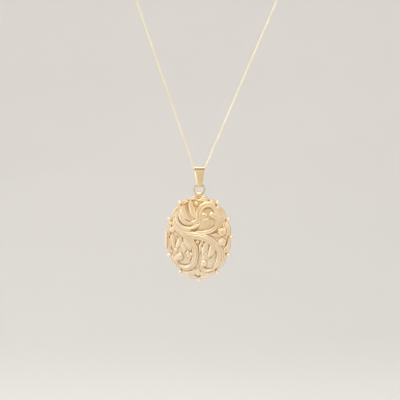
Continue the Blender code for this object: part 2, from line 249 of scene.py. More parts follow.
# stamped relief, pickled and lightly burnished, matt where no buff reaches; painted shade makes the hollows brownish
# so the ridges stand bright, and painted light makes the lower half paler
reliefGold = goldFinish("yellowGoldBurnishedRelief", {
    # painted shade: the dark tone and how strongly it is painted into the hollows
    "pale": "#F7E3C4", "deep": "#F0D6AA", "dark": "#A8875A", "recess": 0.7, "roughness": (0.38, 0.50),
    # painted light: a paler tone over the lower half, from z -14 mm down to -34 mm
    "paintedLightTone": "#F1E2CB", "paintedLightFrom": (-14, -34),
    "grain": 0.16, "cloud": 5.0, "bump": 0.22, "brush": (900, 900, 900), "scratch": 0.10,
})
# pressed back, satin brushed up and down: a soft streaky sheen
satinGold = goldFinish("yellowGoldSatinBrushed", {
    "pale": "#F3DDB6", "deep": "#EACE9F", "roughness": (0.26, 0.38),
    "grain": 0.25, "cloud": 6.0, "bump": 0.10, "brush": (9000, 9000, 500), "scratch": 0.30,
})
# polished on a felt wheel: clear reflections with hairline scratches
polishedGold = goldFinish("yellowGoldPolished", {
    # its dark tone is a painted reflection, used only on the bail's line under the fold
    "pale": "#F8E2BC", "deep": "#F1D5A5", "dark": "#6E5430", "recess": 0.9, "roughness": (0.13, 0.22),
    "grain": 0.4, "cloud": 3.0, "bump": 0.04, "brush": (1500, 1500, 7000), "scratch": 0.05,
})
# tumbled granules, their gold painted almost white: a painted highlight, paler than the case's gold
beadGold = goldFinish("yellowGoldTumbledPaintedPale", {
    "pale": "#FDEFD6", "deep": "#F7E4C2", "roughness": (0.22, 0.32),
    "grain": 0.2, "cloud": 1.0, "bump": 0.06, "brush": (4000, 4000, 4000), "scratch": 0.04,
})
# drawn wire, a paler and greyer alloy than the sheet
wireGold = goldFinish("yellowGoldDrawnWire", {
    "pale": "#E9DFC8", "deep": "#D3C4A4", "roughness": (0.20, 0.32),
    "grain": 0.2, "cloud": 1.5, "bump": 0.08, "brush": (7000, 7000, 7000), "scratch": 0.05,
})
# machine-made links, diamond-tumbled: pale with quick glints
chainGold = goldFinish("yellowGoldChainTumbled", {
    "pale": "#FFF8E6", "deep": "#FAEFD0", "roughness": (0.30, 0.42),
    "grain": 0.2, "cloud": 4.0, "bump": 0.05, "brush": (5000, 5000, 5000), "scratch": 0.04,
})


def makeSpringSteel():
    # hard-drawn spring steel: grey, bright along the wire
    material, tree, shader = newMaterial("springSteelHardDrawn")
    place = addNode(tree, "ShaderNodeTexCoord").outputs["Object"]
    noise = addNode(tree, "ShaderNodeTexNoise", {"Scale": 1 / (0.3 * mm), "Detail": 3.0}, {"Vector": place})
    tone = addNode(tree, "ShaderNodeValToRGB", links={"Fac": noise.outputs["Fac"]})
    tone.color_ramp.elements[0].color = linearColor("#8A8C8E")
    tone.color_ramp.elements[1].color = linearColor("#C9CACB")
    rough = addNode(tree, "ShaderNodeMapRange", {3: 0.2, 4: 0.35}, {"Value": noise.outputs["Fac"]})
    tree.links.new(tone.outputs["Color"], shader.inputs["Base Color"])
    tree.links.new(rough.outputs["Result"], shader.inputs["Roughness"])
    shader.inputs["Metallic"].default_value = 1.0
    return material


def makeAcetate():
    # cut acetate sheet: clear, faintly warm, with soft handling marks
    material, tree, shader = newMaterial("acetateClearSheet")
    place = addNode(tree, "ShaderNodeTexCoord").outputs["Object"]
    haze = addNode(tree, "ShaderNodeTexNoise", {"Scale": 1 / (2.5 * mm), "Detail": 5.0}, {"Vector": place})
    rough = addNode(tree, "ShaderNodeMapRange", {1: 0.3, 2: 0.8, 3: 0.05, 4: 0.16}, {"Value": haze.outputs["Fac"]})
    tint = addNode(tree, "ShaderNodeValToRGB", links={"Fac": haze.outputs["Fac"]})
    tint.color_ramp.elements[0].color = linearColor("#F4F1E8")
    tint.color_ramp.elements[1].color = linearColor("#FCFBF7")
    tree.links.new(tint.outputs["Color"], shader.inputs["Base Color"])
    tree.links.new(rough.outputs["Result"], shader.inputs["Roughness"])
    shader.inputs["IOR"].default_value = 1.48
    shader.inputs["Alpha"].default_value = 0.22
    return material


def makeCardPaper():
    # uncoated cotton card: off-white with short fibres and a slight tooth
    material, tree, shader = newMaterial("cottonCardUncoated")
    place = addNode(tree, "ShaderNodeTexCoord").outputs["Object"]
    stretched = addNode(tree, "ShaderNodeMapping", {"Scale": (2.2, 1, 0.7)}, {"Vector": place}).outputs["Vector"]
    fibre = addNode(
        tree, "ShaderNodeTexNoise", {"Scale": 1 / (0.35 * mm), "Detail": 6.0, "Distortion": 1.2}, {"Vector": stretched}
    )
    tone = addNode(tree, "ShaderNodeValToRGB", links={"Fac": fibre.outputs["Fac"]})
    tone.color_ramp.elements[0].position = 0.3
    tone.color_ramp.elements[0].color = linearColor("#DDD5C2")
    tone.color_ramp.elements[1].position = 0.62
    tone.color_ramp.elements[1].color = linearColor("#F3EEE2")
    tooth = addNode(
        tree, "ShaderNodeBump", {"Strength": 0.3, "Distance": 0.02 * mm}, {"Height": fibre.outputs["Fac"]}
    )
    tree.links.new(tone.outputs["Color"], shader.inputs["Base Color"])
    tree.links.new(tooth.outputs["Normal"], shader.inputs["Normal"])
    shader.inputs["Roughness"].default_value = 0.85
    shader.inputs["IOR"].default_value = 1.5
    return material


springSteel = makeSpringSteel()
acetateClear = makeAcetate()
cottonCard = makeCardPaper()
print("materials ready")


# ---- camera, stage and light

camera = {"lens": 120, "place": (0.0002, -0.44, -0.0103)}
cameraData = bpy.data.cameras.new("studioCamera")
cameraData.lens = camera["lens"]
cameraData.sensor_width = 36
cameraData.clip_start = 0.01
cameraObject = bpy.data.objects.new("studioCamera", cameraData)
cameraObject.location = camera["place"]
cameraObject.rotation_euler = (math.pi / 2, 0, 0)
scene.collection.objects.link(cameraObject)
scene.camera = cameraObject
scene.view_settings.view_transform = "Standard"

sweep = {"floor": -0.12, "wall": 0.9, "bend": 0.35, "halfWidth": 4.0, "near": -4.0, "top": 2.5}


def sweepPlace(u, v):
    x = (u * 2 - 1) * sweep["halfWidth"]
    run = sweep["wall"] - sweep["bend"] - sweep["near"]
    arc = sweep["bend"] * math.pi / 2
    rise = sweep["top"] - sweep["floor"] - sweep["bend"]
    gone = v * (run + arc + rise)
    if gone <= run:
        return Vector((x, sweep["near"] + gone, sweep["floor"]))
    if gone <= run + arc:
        turn = (gone - run) / sweep["bend"]
        y = sweep["wall"] - sweep["bend"] + sweep["bend"] * math.sin(turn)
        return Vector((x, y, sweep["floor"] + sweep["bend"] * (1 - math.cos(turn))))
    return Vector((x, sweep["wall"], sweep["floor"] + sweep["bend"] + gone - run - arc))


def makeStage():
    # seamless background paper: pale, matt, with the faintest mottle
    material, tree, shader = newMaterial("backgroundPaperMatt")
    place = addNode(tree, "ShaderNodeTexCoord").outputs["Object"]
    mottle = addNode(tree, "ShaderNodeTexNoise", {"Scale": 6.0, "Detail": 3.0}, {"Vector": place})
    tone = addNode(tree, "ShaderNodeValToRGB", links={"Fac": mottle.outputs["Fac"]})
    tone.color_ramp.elements[0].color = linearColor("#F4F3F1")
    tone.color_ramp.elements[1].color = linearColor("#F8F7F5")
    tree.links.new(tone.outputs["Color"], shader.inputs["Base Color"])
    shader.inputs["Roughness"].default_value = 0.95
    bm = wrappedGrid(sweepPlace, 4, 80)
    mesh = bpy.data.meshes.new("studioSweep")
    bm.to_mesh(mesh)
    bm.free()
    mesh.shade_smooth()
    mesh.materials.append(material)
    stage = bpy.data.objects.new("studioSweep", mesh)
    scene.collection.objects.link(stage)


lights = (
    # name, place, size, watts, colour, whether it lights the floor
    ("topSoftbox", (-0.08, -0.24, 0.62), 0.72, 3.35, "#FFFDF8", True),
    ("frontPanel", (-0.05, -1.10, 0.02), 0.80, 0.52, "#FFFAF2", False),
    ("leftPanel", (-0.60, -0.42, 0.10), 0.45, 1.05, "#FFFEFA", False),
    ("rightPanel", (0.60, -0.34, 0.24), 0.40, 0.75, "#FFEEE6", False),
    ("backPanel", (-0.30, 0.70, 0.20), 0.60, 1.2, "#FFFDF8", False),
)
# the room's tone by height, from straight down (0) to straight up (1)
roomTones = ((0.0, "#F0E4DC"), (0.45, "#EAE5DF"), (0.75, "#D2CCC5"), (1.0, "#FFFFFF"))
# a black card over the camera: the dark line in the polished metal between two lights
darkCard = {"place": (0, -0.72, 0.41), "size": (1.3, 0.17)}


def makeLights():
    aim = middleOf("front_cover")
    for name, place, size, watts, color, onFloor in lights:
        data = bpy.data.lights.new(name, "AREA")
        data.size = size
        data.energy = watts
        data.color = linearColor(color)[:3]
        lamp = bpy.data.objects.new(name, data)
        lamp.location = place
        lamp.visible_camera = False
        lamp.visible_diffuse = onFloor
        lamp.rotation_euler = (aim - Vector(place)).to_track_quat("-Z", "Y").to_euler()
        scene.collection.objects.link(lamp)
    world = bpy.data.worlds.new("softRoom")
    world.use_nodes = True
    tree = world.node_tree
    back = tree.nodes["Background"]
    way = addNode(tree, "ShaderNodeTexCoord").outputs["Generated"]
    upward = addNode(tree, "ShaderNodeSeparateXYZ", links={"Vector": way}).outputs["Z"]
    tone = addNode(
        tree, "ShaderNodeValToRGB",
        links={"Fac": addNode(tree, "ShaderNodeMapRange", {1: -1.0, 2: 1.0}, {"Value": upward}).outputs["Result"]},
    )
    stops = tone.color_ramp.elements
    for number, (position, color) in enumerate(roomTones):
        stop = stops[number] if number < 2 else stops.new(position)
        stop.position = position
        stop.color = linearColor(color)
    tree.links.new(tone.outputs["Color"], back.inputs["Color"])
    back.inputs["Strength"].default_value = 0.74
    scene.world = world


def makeDarkCard():
    # black flocked card: it is there for the reflections only
    material, tree, shader = newMaterial("blackCardFlocked")
    place = addNode(tree, "ShaderNodeTexCoord").outputs["Object"]
    nap = addNode(tree, "ShaderNodeTexNoise", {"Scale": 60.0}, {"Vector": place})
    tone = addNode(tree, "ShaderNodeValToRGB", links={"Fac": nap.outputs["Fac"]})
    tone.color_ramp.elements[0].color = linearColor("#2A2622")
    tone.color_ramp.elements[1].color = linearColor("#3A352F")
    tree.links.new(tone.outputs["Color"], shader.inputs["Base Color"])
    shader.inputs["Roughness"].default_value = 0.9
    wide, high = darkCard["size"]
    toward = Vector(darkCard["place"]).normalized().to_track_quat("Z", "Y").to_matrix().to_4x4()
    bm = bmesh.new()
    bmesh.ops.create_grid(
        bm, x_segments=8, y_segments=2, size=0.5,
        matrix=Matrix.Translation(darkCard["place"]) @ toward @ Matrix.Diagonal((wide, high, 1, 1)),
    )
    mesh = bpy.data.meshes.new("darkCard")
    bm.to_mesh(mesh)
    bm.free()
    mesh.materials.append(material)
    card = bpy.data.objects.new("darkCard", mesh)
    scene.collection.objects.link(card)
    card.visible_camera = False
    card.visible_diffuse = False
    card.visible_shadow = False


makeStage()
makeLights()
makeDarkCard()
print("camera, stage and lights ready")


# ---- the chain, a cord held taut from its clasp to its end ring

chain = {
    "leftEnd": (-22.1, 0, 59.0), "rightEnd": (27.1, 0, 59.0),  # as in the model, in mm
    "bend": ((0.8, 0), (1.6, 0), (1.94, 0.14), (2.05, 0.45), (2.12, 0.9), (3.0, 2.9)),
    "leftOuter": -2.78, "bendPoints": 40, "endGap": 0.1,
    "pitch": 0.62, "halfLength": 0.43, "halfWidth": 0.31, "wire": 0.11, "diameter": 0.7,
}


def smoothThrough(points, count):
    # evenly spaced points on a smooth curve through the given ones
    ends = [2 * points[0] - points[1]] + points + [2 * points[-1] - points[-2]]
    fine = []
    for before, a, b, after in zip(ends, ends[1:], ends[2:], ends[3:]):
        for i in range(20):
            t = i / 20
            fine.append(
                0.5 * (2 * a + (b - before) * t + (2 * before - 5 * a + 4 * b - after) * t * t
                       + (3 * a - before - 3 * b + after) * t ** 3)
            )
    fine.append(points[-1])
    return evenly(fine, count)


def evenly(points, count):
    lengths = [0.0]
    for a, b in zip(points, points[1:]):
        lengths.append(lengths[-1] + (b - a).length)
    spaced = []
    index = 0
    for i in range(count):
        wanted = lengths[-1] * i / (count - 1)
        while index < len(points) - 2 and lengths[index + 1] < wanted:
            index += 1
        part = (wanted - lengths[index]) / (lengths[index + 1] - lengths[index])
        spaced.append(points[index].lerp(points[index + 1], part))
    return spaced


def chainRoute():
    right = [Vector((x, 0, z)) * mm for x, z in chain["bend"]]
    left = [Vector((-x, 0, z)) * mm for x, z in reversed(chain["bend"])]
    left[0].x = chain["leftOuter"] * mm
    bend = smoothThrough(left + right, chain["bendPoints"])
    leftEnd, rightEnd = Vector(chain["leftEnd"]) * mm, Vector(chain["rightEnd"]) * mm
    start = leftEnd - leftEnd.normalized() * chain["endGap"] * mm
    end = rightEnd - rightEnd.normalized() * chain["endGap"] * mm
    leftLeg = [start.lerp(bend[0], i / 8) for i in range(8)]
    rightLeg = [bend[-1].lerp(end, i / 8) for i in range(1, 9)]
    return leftLeg + bend + rightLeg


def makeChain():
    route = chainRoute()
    length = sum((b - a).length for a, b in zip(route, route[1:]))
    reach = chain["halfLength"] + chain["wire"]
    count = round((length / mm - 2 * reach) / chain["pitch"]) + 1
    fine = evenly(route, 4000)
    link = wireRing(chain["halfWidth"], chain["wire"], steps=10, sides=5)
    for vert in link.verts:  # a ring pulled out to a long link, its middle line a rounded oblong
        stretch = (chain["halfLength"] - chain["halfWidth"]) * mm
        vert.co.z += math.copysign(stretch, vert.co.z) if abs(vert.co.z) > 0.01 * mm else 0
    linkMesh = bpy.data.meshes.new("chainLink")
    link.to_mesh(linkMesh)
    link.free()
    bm = bmesh.new()
    for i in range(count):
        s = reach * mm + (length - 2 * reach * mm) * i / (count - 1)
        index = min(len(fine) - 3, max(2, round(s / length * (len(fine) - 1))))
        way = (fine[index + 2] - fine[index - 2]).normalized()
        before = len(bm.verts)
        bm.from_mesh(linkMesh)
        turn = Vector((0, 0, 1)).rotation_difference(way).to_matrix().to_4x4()
        twist = Matrix.Rotation(math.radians(45 + 90 * (i % 2)), 4, "Z")
        bm.verts.ensure_lookup_table()
        bmesh.ops.transform(
            bm, verts=bm.verts[before:], matrix=Matrix.Translation(fine[index]) @ turn @ twist,
        )
    bpy.data.meshes.remove(linkMesh)
    piece = finishPiece("boxChain", bm, chainGold, "chain", ("chain",), smooth=50)
    print("chain:", count, "links,", round(length / mm, 2), "mm")
    return piece, route, length


# ---- the fittings at the chain's ends, just past what hangs in view

fittings = {"link": (1.0, 0.25), "endRing": (1.9, 0.35)}
clasp = {
    "radius": 2.3, "tube": 0.62, "bore": 0.42, "bolt": 0.34, "gap": (28, 72), "boreEnd": 250, "step": 2,
    "slot": (95, 153), "slotHalf": 34, "boltEnds": (29.7, 140), "loop": (0.8, 0.22), "loopOut": 0.85, "loopReach": 0.25, "loopGap": 0.75,
    "knob": (0.16, 0.9, 0.55, 104), "spring": (143, 227), "springReach": 0.26, "springWire": 0.07, "turns": 6,
}


def makeFittings():
    made = []
    for node, name, key in (("clasp_link", "claspLink", "link"), ("end_ring", "endRing", "endRing")):
        bm = wireRing(*fittings[key], steps=64, sides=16)
        bmesh.ops.translate(bm, verts=bm.verts, vec=middleOf(node))
        made.append(finishPiece(name, bm, wireGold, "chain", (node,)))
    return made


def claspMiddle():
    # the bolt ring's middle, and how far its loop leans from straight up
    outward = Vector(chain["leftEnd"]).normalized()
    link, wire = fittings["link"]
    reach = link + wire + 2 * link - clasp["loopReach"] + clasp["loopGap"] + clasp["radius"]
    return (Vector(chain["leftEnd"]) + outward * reach) * mm, math.atan2(-outward.x, -outward.z)


def sectionAngle(at):
    # round the tube's own section at a point about the ring's middle: 0 on the outside of the ring
    return math.degrees(math.atan2(at.y, math.hypot(at.x, at.z) - clasp["radius"] * mm))


def ringAngle(at):
    return math.degrees(math.atan2(at.x, at.z)) % 360


def arcSurface(bm, radius, start, end, sides=32):
    # an open tube bent about +Y from start to end, in degrees
    before = set(bm.verts)
    turn = Matrix.Rotation(math.radians(start), 4, "Y")
    bmesh.ops.create_circle(
        bm, cap_ends=False, segments=sides, radius=radius * mm,
        matrix=turn @ Matrix.Translation((0, 0, clasp["radius"] * mm)) @ Matrix.Rotation(math.pi / 2, 4, "Y"),
    )
    ring = [vert for vert in bm.verts if vert not in before]
    edges = {edge for vert in ring for edge in vert.link_edges}
    bmesh.ops.spin(
        bm, geom=ring + list(edges), cent=(0, 0, 0), axis=(0, 1, 0),
        angle=math.radians(end - start), steps=round((end - start) / clasp["step"]),
    )


def makeClaspCase(middle, lean):
    # a C-shaped tube, hollow from its gap to where the spring rests, with a slot for the thumb piece
    bm = bmesh.new()
    gapStart, gapEnd = clasp["gap"]
    arcSurface(bm, clasp["tube"], gapEnd, gapStart + 360)
    arcSurface(bm, clasp["bore"], gapEnd, clasp["boreEnd"])
    inSlot = []
    for face in bm.faces:
        at = face.calc_center_median()
        if clasp["slot"][0] < ringAngle(at) < clasp["slot"][1] and abs(sectionAngle(at)) < clasp["slotHalf"]:
            inSlot.append(face)
    bmesh.ops.delete(bm, geom=inSlot, context="FACES")
    rims = [edge for edge in bm.edges if edge.is_boundary]
    atGap = [e for e in rims if all(abs(ringAngle(v.co) - gapEnd) < 0.5 for v in e.verts)]
    atSlot = [e for e in rims if clasp["slot"][0] - 2 < ringAngle(e.verts[0].co) < clasp["slot"][1] + 2]
    bmesh.ops.bridge_loops(bm, edges=atGap)
    bmesh.ops.bridge_loops(bm, edges=atSlot)
    bmesh.ops.holes_fill(bm, edges=[edge for edge in bm.edges if edge.is_boundary])
    softenEdges(bm, 0.05, segments=2)
    # the loop for the chain's last link stands on the case, across it
    loop = wireRing(*clasp["loop"], steps=48, sides=16)
    bmesh.ops.rotate(loop, verts=loop.verts, matrix=Matrix.Rotation(math.pi / 2, 3, "Z"))
    bmesh.ops.translate(loop, verts=loop.verts, vec=(0, 0, (clasp["radius"] + clasp["tube"] + clasp["loopOut"]) * mm))
    loopMesh = bpy.data.meshes.new("claspLoop")
    loop.to_mesh(loopMesh)
    loop.free()
    bm.from_mesh(loopMesh)
    bpy.data.meshes.remove(loopMesh)
    bmesh.ops.transform(bm, verts=bm.verts, matrix=Matrix.Translation(middle) @ Matrix.Rotation(lean, 4, "Y"))
    return finishPiece("claspCase", bm, polishedGold, "chain", ("clasp_case",))


def makeClaspBolt(middle, lean):
    bm = bmesh.new()
    arcSurface(bm, clasp["bolt"], *clasp["boltEnds"], sides=24)
    bmesh.ops.holes_fill(bm, edges=[edge for edge in bm.edges if edge.is_boundary])
    radius, long, out, at = clasp["knob"]
    turn = Matrix.Rotation(math.radians(at), 4, "Y")
    bmesh.ops.create_cone(
        bm, cap_ends=True, segments=24, radius1=radius * mm, radius2=radius * mm, depth=long * mm,
        matrix=turn @ Matrix.Translation((0, 0, (clasp["radius"] + out) * mm)),
    )
    softenEdges(bm, 0.06, segments=3)
    bmesh.ops.transform(bm, verts=bm.verts, matrix=Matrix.Translation(middle) @ Matrix.Rotation(lean, 4, "Y"))
    return finishPiece("claspBolt", bm, wireGold, "clasp_bolt", ("clasp_bolt",))


def makeClaspSpring(middle, lean):
    # a coil inside the case, built in one fixed shape; the real one closes up along the ring as the bolt is drawn back
    first, last = (math.radians(degrees) for degrees in clasp["spring"])
    wire, reach, turns = clasp["springWire"], clasp["springReach"], clasp["turns"]

    def coilPlace(u, v):
        around = first + (last - first) * u
        wind, section = fullTurn * turns * u, fullTurn * v
        far = reach + wire * math.cos(section)
        out = clasp["radius"] + far * math.cos(wind)
        spot = Vector((out * math.sin(around), far * math.sin(wind), out * math.cos(around)))
        along = Vector((math.cos(around), 0, -math.sin(around)))
        return spot * mm + along * wire * mm * math.sin(section)

    bm = wrappedGrid(coilPlace, 16 * turns, 8)
    bmesh.ops.holes_fill(bm, edges=[edge for edge in bm.edges if edge.is_boundary])
    bmesh.ops.transform(bm, verts=bm.verts, matrix=Matrix.Translation(middle) @ Matrix.Rotation(lean, 4, "Y"))
    piece = finishPiece("claspSpring", bm, springSteel, None, ("clasp_spring",))
    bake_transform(piece)
    return piece


chainPiece, route, chainLength = makeChain()
claspLink, endRing = makeFittings()
claspPlace = claspMiddle()
claspPieces = [makeClaspCase(*claspPlace), makeClaspBolt(*claspPlace), makeClaspSpring(*claspPlace)]


# ---- the bail, a tapered strip folded over the chain, with bevelled long edges

bail = {
    "topRadius": 0.9, "topZ": -0.5, "bottomRadius": 0.66, "bottomZ": -5.1, "thickness": 0.4,
    "topHalfWidth": 1.62, "bottomHalfWidth": 0.84, "along": 260,  # section: part of the half width, part of the thickness
    "bevelEnd": -0.75, "bevelFade": 0.5, "lineZ": -0.16, "lineWidth": 0.20, "lineDepth": 0.42,
    "section": ((0.0, 1.0), (0.60, 1.0), (0.66, 0.98), (0.94, 0.46), (1.0, 0.38), (1.0, 0.12), (0.96, 0.07), (0.0, 0.07)),
}


def bailFold(u):
    # the inside of the strip at u of the way round it: (y, z) and the way out of it
    top, bottom = bail["topRadius"], bail["bottomRadius"]
    drop = bail["topZ"] - bail["bottomZ"]
    lean = math.asin((top - bottom) / drop)
    straight = math.sqrt(drop ** 2 - (top - bottom) ** 2)
    spans = (top * (math.pi + 2 * lean) * 1.6, straight, bottom * (math.pi - 2 * lean) * 1.6, straight)
    s = (u % 1) * sum(spans)
    if s < spans[0]:
        turn = -(math.pi / 2 + lean) + s / spans[0] * (math.pi + 2 * lean)
        return top * math.sin(turn), bail["topZ"] + top * math.cos(turn), turn
    s -= spans[0]
    if s < spans[1]:
        turn = math.pi / 2 + lean
        part = s / spans[1]
    elif s < spans[1] + spans[2]:
        turn = math.pi / 2 + lean + (s - spans[1]) / spans[2] * (math.pi - 2 * lean)
        return bottom * math.sin(turn), bail["bottomZ"] + bottom * math.cos(turn), turn
    else:
        turn = -(math.pi / 2 + lean)
        part = 1 - (s - spans[1] - spans[2]) / spans[3]
    radius = top + (bottom - top) * part
    return radius * math.sin(turn), bail["topZ"] - drop * part + radius * math.cos(turn), turn


def bailPlace(u, v):
    y, z, turn = bailFold(u)
    along = (bail["topZ"] - z) / (bail["topZ"] - bail["bottomZ"] + bail["bottomRadius"])
    along = min(1, max(0, along))
    halfWidth = bail["topHalfWidth"] + (bail["bottomHalfWidth"] - bail["topHalfWidth"]) * along
    section = bail["section"]
    ring = list(section) + [(-x, t) for x, t in reversed(section[1:-1])]
    part, thick = ring[round(v * len(ring)) % len(ring)]
    square = min(1, max(0, (z - bail["bevelEnd"]) / bail["bevelFade"]))  # the top fold keeps square edges
    if abs(part) > 0.9 and thick > 0.1:
        thick += (0.9 - thick) * square
    if y < 0 and thick > 0.3:  # the line pressed under the fold
        thick -= bail["lineDepth"] * math.exp(-((z - bail["lineZ"]) / bail["lineWidth"]) ** 2)
    out = bail["thickness"] * thick
    return Vector((part * halfWidth, y + out * math.sin(turn), z + out * math.cos(turn))) * mm


def makeBail():
    around = 2 * len(bail["section"]) - 2
    bm = wrappedGrid(bailPlace, bail["along"], around)
    softenEdges(bm, 0.03, segments=2, above=24)
    # painted reflection: the front is painted dark along the line under the fold, standing in for the dark band the
    # polished fold reflects there
    recess = bm.verts.layers.float.new("recess")
    for vert in bm.verts:
        if vert.co.y < 0:
            vert[recess] = min(1, 2.2 * math.exp(-((vert.co.z / mm - bail["lineZ"]) / bail["lineWidth"]) ** 2))
    finishPiece("taperedBail", bm, polishedGold, "bail", ("bail",), smooth=30)


makeBail()


# ---- the jump ring, and the loop on the case that it hangs from

jumpRing = {"radius": 1.7, "wire": 0.32, "seam": 0.05}
pendantLoop = {"radius": 1.0, "strap": 0.33, "width": 1.6, "corner": 0.2, "lowest": -0.74, "foot": (1.6, 1.1)}


def makeJumpRing():
    bm = wireRing(jumpRing["radius"], jumpRing["wire"], steps=120, sides=24)
    for vert in bm.verts:  # the soldered joint stands a hair proud, at the upper right
        angle = math.degrees(math.atan2(vert.co.x, vert.co.z))
        middle = Vector((vert.co.x, 0, vert.co.z)).normalized() * jumpRing["radius"] * mm
        near = math.exp(-((angle - 62) / 5) ** 2)
        vert.co = middle + (vert.co - middle) * (1 + jumpRing["seam"] * near)
    bmesh.ops.translate(bm, verts=bm.verts, vec=middleOf("jump_ring"))
    finishPiece("jumpRing", bm, wireGold, "jump_ring", ("jump_ring",))


def strapPlace(u, v):
    # a strap bent to an arch on two upright legs, closed below: its middle line, then its section
    half = pendantLoop["radius"] - pendantLoop["strap"] / 2
    corner, lowest = pendantLoop["corner"], pendantLoop["lowest"] + pendantLoop["strap"] / 2
    line = [(half * math.sin(t), half * math.cos(t)) for t in np.linspace(-math.pi / 2, math.pi / 2, 33)]
    for side, turns in ((1, np.linspace(0, math.pi / 2, 7)), (-1, np.linspace(math.pi / 2, 0, 7))):
        line += [
            (side * (half - corner + corner * math.cos(t)), lowest + corner - corner * math.sin(t)) for t in turns
        ]
    index = round(u * len(line)) % len(line)
    y, z = line[index]
    before, after = line[index - 1], line[(index + 1) % len(line)]
    way = Vector((after[0] - before[0], after[1] - before[1])).normalized()
    wide, thick = pendantLoop["width"] / 2, pendantLoop["strap"] / 2
    section = ((-1, -0.6), (-0.93, -1), (0.93, -1), (1, -0.6), (1, 0.7), (0.92, 1), (0, 1.0), (-0.92, 1), (-1, 0.7))
    across, out = section[round(v * len(section)) % len(section)]
    return Vector((across * wide, y - way.y * out * thick, z + way.x * out * thick)) * mm


def makePendantLoop():
    low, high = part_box("pendant_loop")
    middle = Vector(((low.x + high.x) / 2, 0, middleOf("jump_ring").z - jumpRing["radius"] * mm))
    bm = wrappedGrid(strapPlace, 47, 9)
    bmesh.ops.translate(bm, verts=bm.verts, vec=middle)
    # the foot under it, on the back's rim
    top, bottom = middle.z + (pendantLoop["lowest"] + 0.05) * mm, low.z + 0.02 * mm
    foot = bmesh.ops.create_cube(bm, size=1)["verts"]
    wide, deep = pendantLoop["foot"][0] * mm, pendantLoop["foot"][1] * mm
    at = Vector((middle.x, 0.3 * mm, (top + bottom) / 2))
    bmesh.ops.transform(
        bm, verts=foot, matrix=Matrix.Translation(at) @ Matrix.Diagonal((wide, deep, top - bottom, 1)),
    )
    finishPiece("pendantLoop", bm, reliefGold, "case_back", ("pendant_loop",))


makeJumpRing()
makePendantLoop()
print("bail, jump ring and loop ready")


# ---- the case: back, bearer, bezel, picture places

case = {
    "wall": 0.45, "backDepth": 2.2, "backFlat": 6.0, "rimDepth": 0.6, "lip": 0.04,
    "bearer": (9.58, 9.2, -0.5, 0.65), "bezel": (10.1, 9.7, -1.04, -0.04), "notch": 0.6,
}


def quarterArc(outer, inner, yOuter, yInner, steps):
    # a quarter of an ellipse from (outer, yOuter) in to (inner, yInner)
    turns = [math.pi / 2 * i / steps for i in range(steps + 1)]
    return [(inner + (outer - inner) * math.cos(t), yOuter + (yInner - yOuter) * math.sin(t)) for t in turns]


def makeBackShell():
    half = caseHalfWidth / mm
    inner = half - case["wall"]
    outside = quarterArc(half, case["backFlat"], case["rimDepth"], case["backDepth"], 18)
    inside = quarterArc(inner, case["backFlat"] - 0.2, case["rimDepth"], case["backDepth"] - case["wall"], 12)
    lip = [(half, case["lip"] + 0.08), (half - 0.06, case["lip"]), (inner, case["lip"])]
    middle = case["backDepth"]
    bm = turnedOval(outside[::-1] + lip + inside, filled=True, steps=240)
    finishPiece("backShell", bm, satinGold, "case_back", ("back_shell",))


def makeBand(name, node, band, body, material=polishedGold, soften=0.05):
    outer, inner, front, back = band
    bm = turnedOval([(outer, front), (outer, back), (inner, back), (inner, front)], closed=True, steps=200)
    softenEdges(bm, soften, segments=2)
    return finishPiece(name, bm, material, body, (node,))


def makeDisc(name, node, halfWidth, front, back, body, material):
    bm = turnedOval([(halfWidth, front), (halfWidth, back)], filled=True, steps=160)
    softenEdges(bm, 0.03, segments=1)
    return finishPiece(name, bm, material, body, (node,))


def makeBezel():
    outer, inner, front, back = case["bezel"]
    bm = turnedOval([(outer, front), (outer, back), (inner, back), (inner, front)], closed=True, steps=240)
    # the notch at three o'clock that the catch lug sits in, open towards the back
    half = case["notch"] * mm
    for height in (-half, half):
        spot = caseMiddle + Vector((0, 0, height))
        bmesh.ops.bisect_plane(bm, geom=bm.verts[:] + bm.edges[:] + bm.faces[:], plane_co=spot, plane_no=(0, 0, 1))
    spot = Vector((0, -0.5 * mm, 0))
    bmesh.ops.bisect_plane(bm, geom=bm.verts[:] + bm.edges[:] + bm.faces[:], plane_co=spot, plane_no=(0, 1, 0))
    inNotch = []
    for face in bm.faces:
        at = face.calc_center_median() - caseMiddle
        if at.x > 0 and abs(at.z) < half and at.y > spot.y + 0.001 * mm:
            inNotch.append(face)
    bmesh.ops.delete(bm, geom=inNotch, context="FACES")
    bmesh.ops.holes_fill(bm, edges=[edge for edge in bm.edges if edge.is_boundary])
    finishPiece("coverBezel", bm, polishedGold, "cover", ("cover_bezel",))


def makePicturePlaces():
    # frame half width, y where it starts, card half width; the cover's are towards -y
    places = (("back", 1, 9.1, 0.1, 8.5, "case_back"), ("cover", -1, 9.5, 0.6, 8.2, "cover"))
    for side, way, frameWidth, start, card, body in places:
        glass = start + 0.5
        paper = glass + 0.25
        band = (frameWidth, 7.9, way * start, way * (start + 0.42))
        makeBand(f"{side}PictureFrame", f"{side}_picture_frame", band, body, soften=0.12)
        makeDisc(
            f"{side}Window", f"{side}_window", 8.6, way * glass, way * (glass + 0.18), body,
            acetateClear,
        )
        makeDisc(
            f"{side}Card", f"{side}_card", card, way * paper, way * (paper + 0.25), body, cottonCard,
        )


def makeCatchLug():
    low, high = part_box("catch_lug")
    bm = bmesh.new()
    size = high - low
    bmesh.ops.create_cube(bm, size=1, matrix=Matrix.Translation((low + high) / 2) @ Matrix.Diagonal((*size, 1)))
    softenEdges(bm, 0.07, segments=4)
    finishPiece("catchLug", bm, polishedGold, "case_back", ("catch_lug",))


makeBackShell()
makeBand("backBearer", "back_bearer", case["bearer"], "case_back")
makeBezel()
makePicturePlaces()
makeCatchLug()
print("case and picture places ready")


# ---- the hinge, five knuckles on a pin

hinge = {"radius": 0.5, "bore": 0.25, "soften": 0.04, "pinRadius": 0.2}


